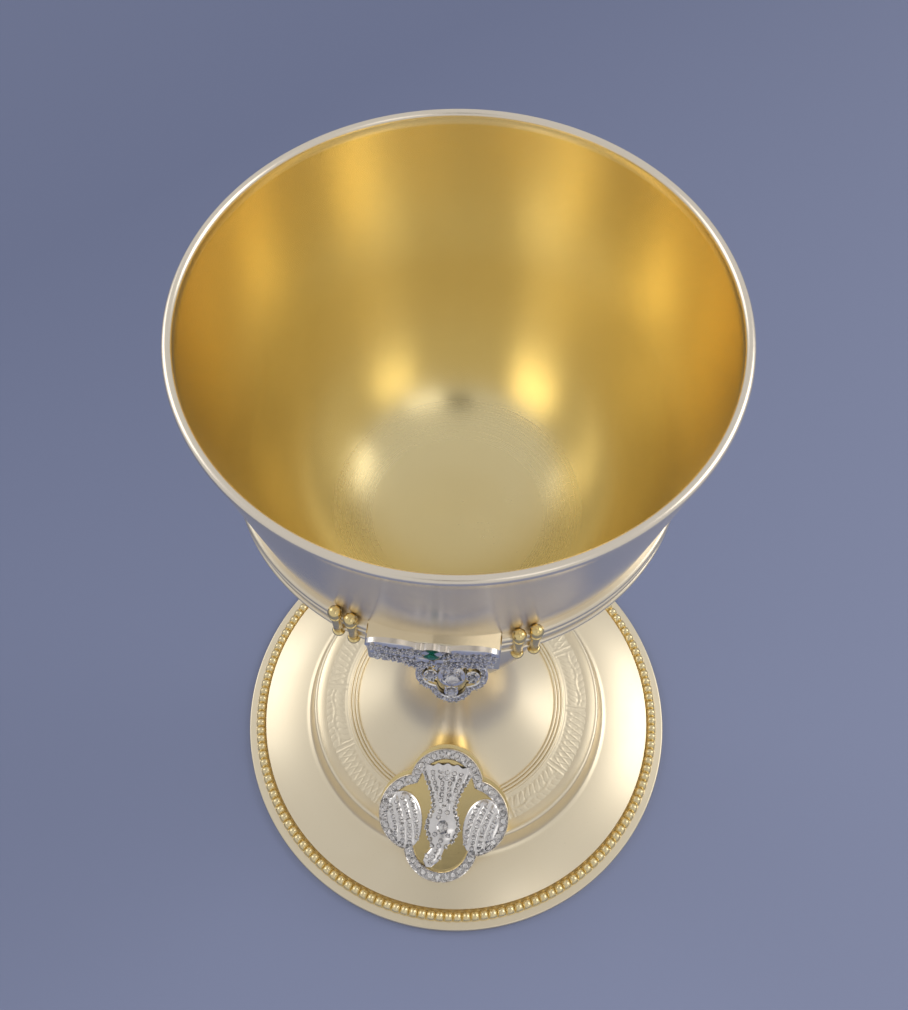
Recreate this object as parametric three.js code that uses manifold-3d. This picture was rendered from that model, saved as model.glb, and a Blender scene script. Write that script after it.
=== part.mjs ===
import * as THREE from 'three';
import { mergeVertices } from 'three/addons/utils/BufferGeometryUtils.js';
import Module from 'manifold-3d';

// A standing cup on a turned stem, with jewelled mounts on its front.
// Sizes are in millimetres. Z is up, the front faces -Y, and the origin is
// the centre of the foot's underside.

// Foot: a hollow shell with a flat flange, a sloping band, a coved step to a
// level ornamented band between mouldings, and a dome that flares to the stem
const footRadius = 72.1;
const footShell = 1.3;
const flangeWidth = 7;
const flangeThickness = 2.2;
const edgeRound = 0.5;
const slopeInset = 6.1;
const slopeFootRise = 2.2;
const slopeWidth = 15.6;
const slopeRise = 4.4;
const slopeCrown = 0.5;
const coveReach = 1.6;
const stepWidth = 3.2;
const stepRise = 6.8;
const ringWire = 0.9;
const bandWidth = 10.8;
const bandRise = 1.2;
const reedWire = 0.55;
const reedCount = 3;
const domeWidth = 12.1;
const domeRise = 9.9;
const domeSwellWidth = 4;
const domeSwellDrop = 3.4;
const flareRise = 34.5;
const flareSwellWidth = 0.8;
const flareSwellRise = 10;
const footTopRadius = 8.6;

// Beaded wire round the flange
const beadInset = 4;
const beadWidth = 3.2;
const beadRise = 2;
const beadDip = 0.8;
const beadCount = 150;

// Stem and knop
const lowerStemLength = 34.03;
const upperStemLength = 15.23;
const stemRadius = 6.5;
const collarRadius = 9;
const collarHeight = 3.2;
const knopRadius = 25.8;
const knopHeight = 36;
const knopTurnDegrees = 3;

// Cup: a straight taper below the lip that bends in one sweep to a nearly
// flat bottom
const cupDepth = 73;
const rimRadius = 50;
const cupWall = 1.3;
const lipThickness = 1.8;
const lipDepth = 2.6;
const taperFootRadius = 42.7;
const bowlHeight = 37;
const bowlFlatRadius = 24;
const bowlSideInset = 5.3;
const bowlSideDrop = 32;

// Calyx that holds the lower half of the cup, with a moulded girdle at its top
const calyxWall = 1.2;
const girdleDrop = 1.4;
const girdleStand = 1.5;
const girdleBead = 0.75;
const girdleLowerBead = 0.5;
const girdleDepth = 6.4;
const girdleNeck = 0.6;

// Quatrefoil medallion with a dove, on a gold seat fitted to the foot
const medallionRadius = 20.5;
const medallionLobeRadius = 11.9;
const medallionFrame = 3.4;
const medallionThickness = 1.6;
const medallionInset = 6.6;
const medallionRise = 7.4;
const medallionTiltDegrees = 20;
const medallionSeatShift = 1.2;
const medallionSeatDepth = 13;

// Dove, as shares of the medallion's radius
const dove = { bodyWidth: 0.2, bodyLength: 0.42, bodyPlace: -0.1, headSize: 0.13, headPlace: -0.6 };
const tail = { halfWidth: 0.36, top: 0.72, neck: 0.12, neckPlace: 0.2, feathers: 5 };
const wing = { root: 0.1, tip: 0.84, halfHeight: 0.34, place: -0.04 };
const doveRise = 1.1;

// Quatrefoil jewel on the knop, with a round stone, on a gold seat
const knopJewelRadius = 8.8;
const knopJewelLobeRadius = 5.1;
const knopJewelFrame = 1.7;
const knopJewelThickness = 1.3;
const knopJewelSeatDepth = 6;
const knopJewelStand = 1.2;
const knopJewelRise = 6;
const knopJewelTiltDegrees = 62;
const knopStoneRadius = 3.2;
const knopStoneRise = 1.5;

// Bow jewel on the cup, its box seat and the small pillars beside it
const bowHalfWidth = 11.9;
const bowHeight = 10.8;
const bowThickness = 1.6;
const bowRise = 4;
const bowShape = { waist: 0.14, top: 0.9, fullness: 0.28 };
const seatHalfWidth = 12.2;
const seatStand = 0.8;
const seatReach = 8.4;
const seatRise = 1.3;
const seatRidgeRise = 0.5;
const seatDrop = 8.5;
const emeraldWidth = 2.9;
const emeraldHeight = 2.1;
const emeraldDepth = 1.2;
const emeraldDrop = 2.6;
const pillarAngles = { left_outer: -23.7, left_inner: -19.6, right_inner: 19.6, right_outer: 23.7 };
const pillarRadius = 0.95;
const pillarStand = 0.3;
const pillarDrop = 7;
const pillarBallRadius = 1.35;
const pillarBallRise = 1.8;

// Gap left between touching pieces
const fitGap = 0.3;

// Steps of the round shapes
const bigSteps = 36;
const knopSteps = 24;
const stemSteps = 16;
const lobeSteps = 6;
const stoneSteps = 8;
const bowSteps = 24;
const bowlSteps = 7;

// Radii and heights that follow, from the flange in and up
const slopeOuterRadius = footRadius - slopeInset;
const slopeOuterHeight = flangeThickness + slopeFootRise;
const slopeInnerRadius = slopeOuterRadius - slopeWidth;
const slopeInnerHeight = slopeOuterHeight + slopeRise;
const plateauRadius = slopeInnerRadius - stepWidth;
const plateauHeight = slopeInnerHeight + stepRise;
const reedOuterRadius = plateauRadius - bandWidth;
const reedHeight = plateauHeight + bandRise;
const reedInnerRadius = reedOuterRadius - 2 * reedWire * reedCount;
const domeRadius = reedInnerRadius - domeWidth;
const domeHeight = plateauHeight + domeRise;
const footTopHeight = domeHeight + flareRise;
const knopEndRise = (knopHeight / 2) * Math.sin(Math.acos(collarRadius / knopRadius));
const knopCentreHeight = footTopHeight + 2 * fitGap + lowerStemLength + knopEndRise;
const calyxBottomHeight = knopCentreHeight + knopEndRise + 2 * fitGap + upperStemLength;
const cupBottomHeight = calyxBottomHeight + calyxWall + fitGap + cupWall;
const taperFootHeight = cupBottomHeight + bowlHeight;
const cupHeight = cupBottomHeight + cupDepth;
const calyxTopHeight = taperFootHeight - girdleDrop;
const girdleRadius = cupOutsideTo(calyxTopHeight, cupWall).pop().x + girdleStand;
const medallionCentre = { radius: plateauRadius - medallionInset, height: plateauHeight + medallionRise };
const knopJewelCentre = { radius: knopRadius + knopJewelStand, height: knopCentreHeight + knopJewelRise };
const seatFront = girdleRadius + seatStand;
const bowTopHeight = calyxTopHeight + bowRise;
const pillarRingRadius = girdleRadius + pillarStand;
const pillarBallHeight = calyxTopHeight + pillarBallRise;

const satinGold = { color: 0xd9c79a, roughness: 0.34, metalness: 1 };
const warmGold = { color: 0xc9a555, roughness: 0.4, metalness: 1 };
const brightGold = { color: 0xd8b256, roughness: 0.22, metalness: 1 };
const whiteMetal = { color: 0xc9c8cc, roughness: 0.25, metalness: 1 };
const greenStone = { color: 0x0f5a3c, roughness: 0.08, metalness: 0 };

const wasm = await Module();
wasm.setup();

const chalice = new THREE.Group();

function addPiece(name, geometry, finish) {
  const piece = new THREE.Mesh(geometry, new THREE.MeshStandardMaterial(finish));
  piece.name = name;
  chalice.add(piece);
  return piece;
}

function at(radius, height) {
  return new THREE.Vector2(radius, height);
}

// Points of a curve pulled towards a control point, with the first left out
function bend(from, control, to, steps) {
  return new THREE.QuadraticBezierCurve(from, control, to).getPoints(steps).slice(1);
}

// Points of an arc, angles in degrees from the outward direction
function arc(centre, radius, startDegrees, endDegrees, steps) {
  const points = [];
  for (let i = 0; i <= steps; i += 1) {
    const angle = THREE.MathUtils.degToRad(startDegrees + ((endDegrees - startDegrees) * i) / steps);
    points.push(at(centre.x + radius * Math.cos(angle), centre.y + radius * Math.sin(angle)));
  }
  return points;
}

// A profile moved to its right by a distance, for a wall of even thickness
function parallel(profile, distance) {
  const last = profile.length - 1;
  return profile.map((point, i) => {
    const arriving = point.clone().sub(profile[Math.max(i - 1, 0)]).normalize();
    const leaving = profile[Math.min(i + 1, last)].clone().sub(point).normalize();
    if (i === 0) arriving.copy(point.x === 0 ? at(1, 0) : leaving);
    if (i === last) leaving.copy(arriving);
    const along = arriving.add(leaving).divideScalar(2);
    const reach = distance / along.length();
    along.normalize();
    const radius = point.x === 0 ? 0 : point.x + along.y * reach;
    return at(radius, point.y - along.x * reach);
  });
}

// A profile turned round the Z axis
function turned(profile, steps) {
  const geometry = new THREE.LatheGeometry(profile, steps);
  geometry.rotateX(Math.PI / 2);
  return geometry;
}

function toSolid(geometry) {
  const bare = geometry.clone();
  bare.deleteAttribute('normal');
  bare.deleteAttribute('uv');
  const welded = mergeVertices(bare, 1e-4);
  const corners = Array.from(welded.index.array);
  const kept = [];
  for (let i = 0; i < corners.length; i += 3) {
    const [a, b, c] = corners.slice(i, i + 3);
    if (a !== b && b !== c && c !== a) kept.push(a, b, c);
  }
  const vertProperties = new Float32Array(welded.attributes.position.array);
  const triVerts = new Uint32Array(kept);
  return new wasm.Manifold(new wasm.Mesh({ numProp: 3, vertProperties, triVerts }));
}

function toGeometry(solid) {
  const mesh = solid.getMesh();
  const geometry = new THREE.BufferGeometry();
  geometry.setAttribute('position', new THREE.BufferAttribute(new Float32Array(mesh.vertProperties), 3));
  geometry.setIndex(new THREE.BufferAttribute(new Uint32Array(mesh.triVerts), 1));
  geometry.computeVertexNormals();
  return geometry;
}

function joined(geometries) {
  return geometries.map(toSolid).reduce((whole, piece) => whole.add(piece));
}

// Inside of the cup, from the middle of its bottom up to the lip
function cupInside() {
  const bottom = at(0, cupBottomHeight);
  const flat = at(bowlFlatRadius, cupBottomHeight);
  const taperFoot = at(taperFootRadius, taperFootHeight);
  const side = at(taperFootRadius - bowlSideInset, taperFootHeight - bowlSideDrop);
  const lipStart = at(rimRadius - lipThickness, cupHeight - lipDepth);
  return [
    ...new THREE.CubicBezierCurve(bottom, flat, side, taperFoot).getPoints(bowlSteps),
    lipStart,
  ];
}

// The same line further out, up to a height
function cupOutsideTo(height, distance) {
  const line = parallel(cupInside(), distance);
  const above = line.findIndex((point) => point.y > height);
  const end = above === -1 ? line.length - 1 : above;
  const low = line[end - 1];
  const high = line[end];
  const share = (height - low.y) / (high.y - low.y);
  return [...line.slice(0, end), low.clone().lerp(high, share)];
}

function cupGeometry() {
  const inside = cupInside();
  const outside = parallel(inside, cupWall);
  const lipRound = lipThickness / 2;
  const lip = arc(at(rimRadius - lipRound, cupHeight - lipRound), lipRound, 0, 180, 4);
  return turned([...outside, ...lip, ...inside.reverse()], bigSteps);
}

// Stacked half-round mouldings of the girdle, from the lowest up
function girdleProfile() {
  const lower = at(girdleRadius - girdleLowerBead, calyxTopHeight - girdleDepth + girdleLowerBead);
  const middle = at(lower.x, calyxTopHeight - 2 * girdleBead - girdleLowerBead - girdleNeck);
  const upper = at(girdleRadius - girdleBead, calyxTopHeight - girdleBead);
  return [
    ...arc(lower, girdleLowerBead, -90, 90, 2),
    ...arc(middle, girdleLowerBead, -90, 90, 2),
    ...arc(upper, girdleBead, -90, 90, 2),
  ];
}

// The shell follows the cup at an even clearance up to the girdle
function calyxGeometry() {
  const inner = cupOutsideTo(calyxTopHeight, cupWall + fitGap);
  const underside = cupOutsideTo(calyxTopHeight - girdleDepth, cupWall + fitGap + calyxWall);
  return turned([...underside, ...girdleProfile(), ...inner.reverse()], bigSteps);
}

// Everything that the pieces on the cup's front must stay clear of, narrowing
// at 45 degrees below the girdle
function cupKeepOut() {
  const girdle = girdleRadius + fitGap;
  const girdleTop = calyxTopHeight + fitGap;
  const girdleBottom = calyxTopHeight - girdleDepth - fitGap;
  const wallFoot = cupOutsideTo(girdleTop, cupWall + fitGap).pop();
  const wholeWall = cupOutsideTo(cupHeight - lipDepth, cupWall + fitGap);
  const wall = wholeWall.filter((point) => point.y > girdleTop);
  const profile = [
    at(0, girdleBottom - seatDrop),
    at(girdle - seatDrop, girdleBottom - seatDrop),
    at(girdle, girdleBottom),
    at(girdle, girdleTop),
    wallFoot,
    ...wall,
    at(0, wall[wall.length - 1].y),
  ];
  return toSolid(turned(profile, bigSteps));
}

function knopProfile(growth) {
  const across = knopRadius + growth;
  const halfHeight = knopHeight / 2 + growth;
  const endAngle = Math.acos(collarRadius / across);
  const points = [];
  const steps = 8;
  for (let i = 0; i <= steps; i += 1) {
    const angle = -endAngle + (2 * endAngle * i) / steps;
    points.push(at(across * Math.cos(angle), knopCentreHeight + halfHeight * Math.sin(angle)));
  }
  return [at(0, points[0].y), ...points, at(0, points[steps].y)];
}

function knopGeometry() {
  return turned(knopProfile(0), knopSteps);
}

// A stem length with a collar at each end
function stemGeometry(bottom, length) {
  const top = bottom + length;
  const waist = (collarRadius - stemRadius) / 2;
  return turned([
    at(0, bottom),
    at(collarRadius, bottom),
    at(collarRadius, bottom + collarHeight / 2),
    at(stemRadius + waist, bottom + collarHeight * 0.75),
    at(stemRadius, bottom + collarHeight * 1.5),
    at(stemRadius, top - collarHeight * 1.5),
    at(stemRadius + waist, top - collarHeight * 0.75),
    at(collarRadius, top - collarHeight / 2),
    at(collarRadius, top),
    at(0, top),
  ], stemSteps);
}

// Main outer line of the foot, from the bead seat in to the stem
function footLine() {
  const slopeOuter = at(slopeOuterRadius, slopeOuterHeight);
  const slopeInner = at(slopeInnerRadius, slopeInnerHeight);
  const crown = slopeOuter.clone().lerp(slopeInner, 0.5).add(at(0, slopeCrown));
  const coveBottom = at(plateauRadius + coveReach, slopeInnerHeight + coveReach);
  const reedInner = at(reedInnerRadius, reedHeight);
  const domeSwell = at(domeRadius + domeSwellWidth, domeHeight - domeSwellDrop);
  const shoulder = at(domeRadius, domeHeight);
  const flareSwell = at(footTopRadius + flareSwellWidth, domeHeight + flareSwellRise);
  const top = at(footTopRadius, footTopHeight);
  return {
    slope: [slopeOuter, crown, slopeInner],
    cove: bend(slopeInner, coveBottom, at(plateauRadius + ringWire, plateauHeight), 3),
    plateau: [at(plateauRadius - ringWire, plateauHeight), at(reedOuterRadius, reedHeight)],
    dome: [reedInner, ...bend(reedInner, domeSwell, shoulder, 2), ...bend(shoulder, flareSwell, top, 3)],
  };
}

// Fine parallel reeds inside the ornamented band
function reedProfile() {
  const points = [];
  for (let i = 0; i < reedCount; i += 1) {
    const centre = at(reedOuterRadius - reedWire * (2 * i + 1), reedHeight);
    points.push(...arc(centre, reedWire, 0, 180, 2).slice(0, 2));
  }
  return points;
}

function footGeometry() {
  const line = footLine();
  const main = [...line.slope, ...line.cove.slice(-1), line.plateau[1], ...line.dome];
  const inner = parallel(main, -footShell);
  return turned([
    at(footRadius - flangeWidth, 0),
    at(footRadius, 0),
    at(footRadius, flangeThickness - edgeRound),
    at(footRadius - edgeRound, flangeThickness),
    at(slopeOuterRadius + edgeRound, flangeThickness),
    ...line.slope,
    ...line.cove.slice(0, -1),
    ...arc(at(plateauRadius, plateauHeight), ringWire, 0, 180, 3),
    ...reedProfile(),
    ...line.dome,
    ...inner.reverse(),
    at(footRadius - flangeWidth, 0),
  ], bigSteps);
}

// Space filled by the foot and its clearance, for the seat of the medallion
function footKeepOut() {
  const line = footLine();
  const lift = [...line.slope, ...line.cove.slice(0, -1)];
  const ring = arc(at(plateauRadius, plateauHeight), ringWire, 0, 180, 3);
  const reedTop = at(reedOuterRadius, reedHeight + reedWire);
  const over = parallel([...lift, ...ring, reedTop, ...line.dome.slice(1)], fitGap);
  return toSolid(turned([at(0, 0), at(over[0].x, 0), ...over, at(0, over[over.length - 1].y)], bigSteps));
}

// A ring of small radial bars, run together into one wire
function beadingGeometry() {
  const section = [
    [-beadWidth / 2, 0],
    [beadWidth / 2, 0],
    [0, 1],
  ];
  const base = flangeThickness + fitGap;
  const stations = beadCount * 2;
  const ringRadius = footRadius - beadInset;
  const positions = [];
  for (let i = 0; i < stations; i += 1) {
    const angle = (2 * Math.PI * i) / stations;
    const crest = i % 2 === 0 ? beadRise : beadRise - beadDip;
    for (const [offset, share] of section) {
      const radius = ringRadius + offset;
      positions.push(radius * Math.cos(angle), radius * Math.sin(angle), base + crest * share);
    }
  }
  const faces = [];
  for (let i = 0; i < stations; i += 1) {
    const here = i * section.length;
    const there = ((i + 1) % stations) * section.length;
    for (let k = 0; k < section.length; k += 1) {
      const m = (k + 1) % section.length;
      faces.push(here + k, there + m, here + m, here + k, there + k, there + m);
    }
  }
  const geometry = new THREE.BufferGeometry();
  geometry.setAttribute('position', new THREE.Float32BufferAttribute(positions, 3));
  geometry.setIndex(faces);
  geometry.computeVertexNormals();
  return geometry;
}

// Outline of four round lobes that meet in cusps
function quatrefoil(reach, lobeRadius) {
  const centre = reach - lobeRadius;
  const cusp = centre / 2 + Math.sqrt(lobeRadius ** 2 / 2 - centre ** 2 / 4);
  const halfSweep = Math.atan2(cusp, cusp - centre);
  const points = [];
  for (let lobe = 0; lobe < 4; lobe += 1) {
    const turn = (lobe * Math.PI) / 2;
    const middle = at(centre, 0).rotateAround(at(0, 0), turn);
    for (let i = 0; i < lobeSteps; i += 1) {
      const angle = turn - halfSweep + (2 * halfSweep * i) / lobeSteps;
      points.push(at(middle.x + lobeRadius * Math.cos(angle), middle.y + lobeRadius * Math.sin(angle)));
    }
  }
  return points;
}

function slab(outline, thickness, hole) {
  const shape = new THREE.Shape(outline);
  if (hole) shape.holes.push(new THREE.Path(hole));
  const settings = { depth: thickness, bevelEnabled: false, curveSegments: lobeSteps };
  return new THREE.ExtrudeGeometry(shape, settings);
}

// Fan of the dove's tail, with scalloped feather ends
function tailOutline(size) {
  const neck = tail.neck * size;
  const neckPlace = tail.neckPlace * size;
  const points = [at(-neck, neckPlace), at(neck, neckPlace)];
  const ends = tail.feathers * 2;
  for (let i = 0; i <= ends; i += 1) {
    const across = 1 - (2 * i) / ends;
    const crown = Math.cos(across * 0.9) * (i % 2 === 0 ? 0.94 : 1);
    points.push(at(across * tail.halfWidth * size, tail.top * size * crown));
  }
  return points;
}

// A leaf-shaped wing on one side
function wingOutline(size, side) {
  const points = [];
  const steps = 5;
  for (const edge of [1, -1]) {
    for (let i = 0; i < steps; i += 1) {
      const share = edge === 1 ? i / steps : 1 - i / steps;
      const along = wing.root + (wing.tip - wing.root) * share;
      const breadth = wing.halfHeight * Math.sin(Math.PI * share ** 0.8);
      points.push(at(side * along * size, (wing.place + edge * breadth) * size));
    }
  }
  return side === 1 ? points.reverse() : points;
}

// The dove seen from above, head down, joined to its pierced frame
function medallionSolid() {
  const size = medallionRadius;
  const hole = quatrefoil(size - medallionFrame, medallionLobeRadius - medallionFrame);
  const frame = slab(quatrefoil(size, medallionLobeRadius), medallionThickness, hole);
  const pieces = [frame, slab(tailOutline(size), medallionThickness)];
  for (const side of [-1, 1]) pieces.push(slab(wingOutline(size, side), medallionThickness * 0.9));
  const body = new THREE.SphereGeometry(1, 10, 6);
  body.scale(dove.bodyWidth * size, dove.bodyLength * size, doveRise + medallionThickness / 2);
  body.translate(0, dove.bodyPlace * size, medallionThickness / 2 + fitGap);
  const head = new THREE.SphereGeometry(dove.headSize * size, 8, 6);
  head.scale(1, 1.5, 0.7);
  head.translate(0, dove.headPlace * size, medallionThickness / 2 + fitGap);
  const half = new THREE.BoxGeometry(4 * size, 4 * size, 2 * size);
  half.translate(0, 0, size);
  return joined([...pieces, body, head]).intersect(toSolid(half));
}

// Turns a piece drawn flat, its top towards the axis, to lie on the front
function placeOnFront(geometry, tiltDegrees, centre) {
  geometry.rotateX(THREE.MathUtils.degToRad(tiltDegrees));
  geometry.translate(0, -centre.radius, centre.height);
  return geometry;
}

function medallionGeometry() {
  const geometry = toGeometry(medallionSolid());
  return placeOnFront(geometry, medallionTiltDegrees, medallionCentre);
}

function medallionSeatGeometry() {
  const block = slab(quatrefoil(medallionRadius, medallionLobeRadius), medallionSeatDepth);
  block.translate(0, medallionSeatShift, -medallionSeatDepth - fitGap);
  placeOnFront(block, medallionTiltDegrees, medallionCentre);
  return toGeometry(toSolid(block).subtract(footKeepOut()));
}

// A cut stone with a flat table, standing on its girdle
function cutStone(radius, rise) {
  const stone = new THREE.CylinderGeometry(radius * 0.6, radius, rise, stoneSteps);
  stone.rotateX(Math.PI / 2);
  stone.translate(0, 0, rise / 2);
  return stone;
}

function knopJewelGeometry() {
  const reach = knopJewelRadius;
  const hole = quatrefoil(reach - knopJewelFrame, knopJewelLobeRadius - knopJewelFrame);
  const frame = slab(quatrefoil(reach, knopJewelLobeRadius), knopJewelThickness, hole);
  const pieces = [frame];
  const armLength = reach - knopJewelFrame / 2;
  for (const turn of [0, Math.PI / 2]) {
    const arm = new THREE.BoxGeometry(2 * armLength, knopJewelFrame, knopJewelThickness);
    arm.translate(0, 0, knopJewelThickness / 2);
    arm.rotateZ(turn);
    pieces.push(arm);
  }
  const stone = cutStone(knopStoneRadius, knopJewelThickness + knopStoneRise);
  const geometry = toGeometry(joined([...pieces, stone]));
  return placeOnFront(geometry, knopJewelTiltDegrees, knopJewelCentre);
}

function knopJewelSeatGeometry() {
  const block = slab(quatrefoil(knopJewelRadius, knopJewelLobeRadius), knopJewelSeatDepth);
  block.translate(0, 0, -knopJewelSeatDepth - fitGap);
  placeOnFront(block, knopJewelTiltDegrees, knopJewelCentre);
  return toGeometry(toSolid(block).subtract(toSolid(turned(knopProfile(fitGap), knopSteps))));
}

// Upright slab whose front face is at the given distance before the axis
function uprightSlab(outline, thickness, front) {
  const geometry = slab(outline, thickness);
  geometry.rotateX(Math.PI / 2);
  geometry.translate(0, thickness - front, 0);
  return geometry;
}

// Box seat with a ridged top that reaches back over the girdle to the cup
function bowSeatGeometry() {
  const bottom = calyxTopHeight - seatDrop;
  const side = calyxTopHeight + seatRise;
  const outline = [
    at(-seatHalfWidth, bottom),
    at(seatHalfWidth, bottom),
    at(seatHalfWidth, side),
    at(0, side + seatRidgeRise),
    at(-seatHalfWidth, side),
  ];
  const block = toSolid(uprightSlab(outline, seatReach, seatFront));
  return toGeometry(block.subtract(cupKeepOut()));
}

// Bow of two leaf-shaped wings and a round middle
function bowOutline() {
  const middle = bowTopHeight - bowHeight / 2;
  const points = [];
  for (let i = 0; i < bowSteps; i += 1) {
    const angle = (2 * Math.PI * i) / bowSteps;
    const rise = Math.sin(angle);
    const waist = 1 - bowShape.waist * Math.cos(4 * angle) ** 2;
    const across = bowHalfWidth * Math.cos(angle) * (angle % Math.PI === 0 ? 1 : waist);
    const upper = rise > 0 ? bowShape.top : 1;
    const fullness = 1 - bowShape.fullness + bowShape.fullness * Math.abs(rise);
    points.push(at(across, middle + (bowHeight / 2) * rise * upper * fullness));
  }
  return points;
}

function bowGeometry() {
  return uprightSlab(bowOutline(), bowThickness, seatFront + fitGap + bowThickness);
}

function emeraldGeometry() {
  const stone = cutStone(1, emeraldDepth);
  stone.scale(emeraldWidth / 2, emeraldHeight / 2, 1);
  stone.rotateX(Math.PI / 2);
  const front = seatFront + 2 * fitGap + bowThickness;
  stone.translate(0, -front, bowTopHeight - emeraldDrop);
  return stone;
}

// A small pillar with a ball on top, standing against the girdle
function pillarGeometry(angleDegrees) {
  const ball = arc(at(0, pillarBallHeight), pillarBallRadius, -60, 90, 4);
  ball[ball.length - 1].setX(0);
  const base = pillarRadius * 1.3;
  const bottom = calyxTopHeight - pillarDrop;
  const pillar = turned([
    at(0, bottom),
    at(base, bottom),
    at(base, bottom + pillarRadius),
    at(pillarRadius, bottom + 1.6 * pillarRadius),
    at(pillarRadius, pillarBallHeight - pillarBallRadius),
    ...ball,
  ], stoneSteps);
  const angle = THREE.MathUtils.degToRad(angleDegrees);
  pillar.translate(pillarRingRadius * Math.sin(angle), -pillarRingRadius * Math.cos(angle), 0);
  return toGeometry(toSolid(pillar).subtract(cupKeepOut()));
}

addPiece('cup', cupGeometry(), warmGold);
addPiece('calyx', calyxGeometry(), satinGold);
const upperStemBottom = knopCentreHeight + knopEndRise + fitGap;
addPiece('upper_stem', stemGeometry(upperStemBottom, upperStemLength), satinGold);
const knopTurn = THREE.MathUtils.degToRad(knopTurnDegrees);
addPiece('knop', knopGeometry(), satinGold);
addPiece('knop_jewel_seat', knopJewelSeatGeometry(), brightGold).rotation.z = knopTurn;
addPiece('knop_jewel', knopJewelGeometry(), whiteMetal).rotation.z = knopTurn;
addPiece('lower_stem', stemGeometry(footTopHeight + fitGap, lowerStemLength), satinGold);
addPiece('foot', footGeometry(), satinGold);
addPiece('foot_beading', beadingGeometry(), brightGold);
addPiece('medallion_seat', medallionSeatGeometry(), brightGold);
addPiece('dove_medallion', medallionGeometry(), whiteMetal);
addPiece('bow_seat', bowSeatGeometry(), brightGold);
addPiece('bow_jewel', bowGeometry(), whiteMetal);
addPiece('emerald', emeraldGeometry(), greenStone);
for (const [side, angle] of Object.entries(pillarAngles)) {
  addPiece(`pillar_${side}`, pillarGeometry(angle), brightGold);
}

export default chalice;
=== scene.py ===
import math

import bmesh
import bpy
import numpy as np
from mathutils import Matrix, Vector


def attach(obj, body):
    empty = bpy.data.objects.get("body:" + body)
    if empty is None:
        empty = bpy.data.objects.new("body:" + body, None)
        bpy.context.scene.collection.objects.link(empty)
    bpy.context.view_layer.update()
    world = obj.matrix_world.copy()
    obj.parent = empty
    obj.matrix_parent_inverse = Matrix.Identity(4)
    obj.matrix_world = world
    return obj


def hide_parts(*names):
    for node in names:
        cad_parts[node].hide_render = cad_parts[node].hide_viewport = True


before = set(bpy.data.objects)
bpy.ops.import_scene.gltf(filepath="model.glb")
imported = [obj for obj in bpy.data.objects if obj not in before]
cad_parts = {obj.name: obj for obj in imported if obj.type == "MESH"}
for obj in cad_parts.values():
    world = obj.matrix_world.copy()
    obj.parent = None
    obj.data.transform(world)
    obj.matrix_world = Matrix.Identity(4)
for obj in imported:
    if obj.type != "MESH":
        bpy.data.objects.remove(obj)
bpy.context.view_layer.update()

# Chalice with a spun cup, a chased band on the foot and jewels set with small
# clear stones. Sizes in the dictionaries are millimetres, Blender is in metres.

mm = 0.001


# Camera: the height and tilt that the photograph was taken from
camera = {
    "spot": (10.5, -112.9, 359.9),
    "downward": 61.35,       # degrees below level
    "turn": 5.7,             # degrees to the left of the chalice's front
    "focalPixels": 1050,
    "imageWidth": 908,
    "sensor": 36,
}


def placeCamera(values):
    data = bpy.data.cameras.new("camera")
    data.sensor_fit = "HORIZONTAL"
    data.sensor_width = values["sensor"]
    data.lens = values["sensor"] * values["focalPixels"] / values["imageWidth"]
    data.clip_start = 0.01
    thing = bpy.data.objects.new("camera", data)
    thing.location = Vector(values["spot"]) * mm
    thing.rotation_euler = (math.radians(90 - values["downward"]), 0, math.radians(values["turn"]))
    bpy.context.scene.collection.objects.link(thing)
    bpy.context.scene.camera = thing
    print("camera in place")


placeCamera(camera)


# Lines and meshes that every piece is made from

def bend(start, control, end, steps):
    share = np.linspace(0, 1, steps + 1)[1:, None]
    start, control, end = np.array(start, float), np.array(control, float), np.array(end, float)
    return (1 - share) ** 2 * start + 2 * share * (1 - share) * control + share ** 2 * end


def arc(centre, radius, startDegrees, endDegrees, steps):
    angles = np.radians(np.linspace(startDegrees, endDegrees, steps + 1))
    return np.array(centre, float) + radius * np.column_stack([np.cos(angles), np.sin(angles)])


def straight(start, end, steps):
    return np.linspace(start, end, steps + 1)[1:]


def offsetLine(line, distance):
    # the line moved to the right of its own direction
    step = np.diff(line, axis=0)
    step /= np.linalg.norm(step, axis=1)[:, None]
    along = np.vstack([step[:1], step[:-1] + step[1:], step[-1:]])
    along /= np.linalg.norm(along, axis=1)[:, None]
    moved = line + distance * np.column_stack([along[:, 1], -along[:, 0]])
    moved[line[:, 0] < 1e-6, 0] = 0
    return moved


def turned(profile, segments):
    # a closed profile turned round Z, points on the axis shared by all segments
    angles = np.linspace(0, 2 * math.pi, segments, endpoint=False)
    cos, sin = np.cos(angles), np.sin(angles)
    points, rows, faces = [], [], []
    for radius, height in profile:
        if radius < 1e-6:
            rows.append([len(points)] * segments)
            points.append((0, 0, height))
        else:
            rows.append(list(range(len(points), len(points) + segments)))
            points.extend(zip(radius * cos, radius * sin, [height] * segments))
    for low, high in zip(rows, rows[1:] + rows[:1]):
        for i in range(segments):
            j = (i + 1) % segments
            corners = list(dict.fromkeys([low[i], low[j], high[j], high[i]]))
            if len(corners) > 2:
                faces.append(corners)
    return points, faces


def grid(points, rows, columns, closedRows=False):
    # quads over points laid out row by row, each row a closed ring
    faces = []
    for i in range(rows if closedRows else rows - 1):
        for j in range(columns):
            a, b = i * columns + j, i * columns + (j + 1) % columns
            c, d = ((i + 1) % rows) * columns + (j + 1) % columns, ((i + 1) % rows) * columns + j
            faces.append([a, b, c, d])
    return points, faces


def gather(parts):
    # several (points, faces) as one
    points, faces = [], []
    for somePoints, someFaces in parts:
        start = len(points)
        points.extend([tuple(p) for p in somePoints])
        faces.extend([[start + k for k in face] for face in someFaces])
    return points, faces


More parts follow.
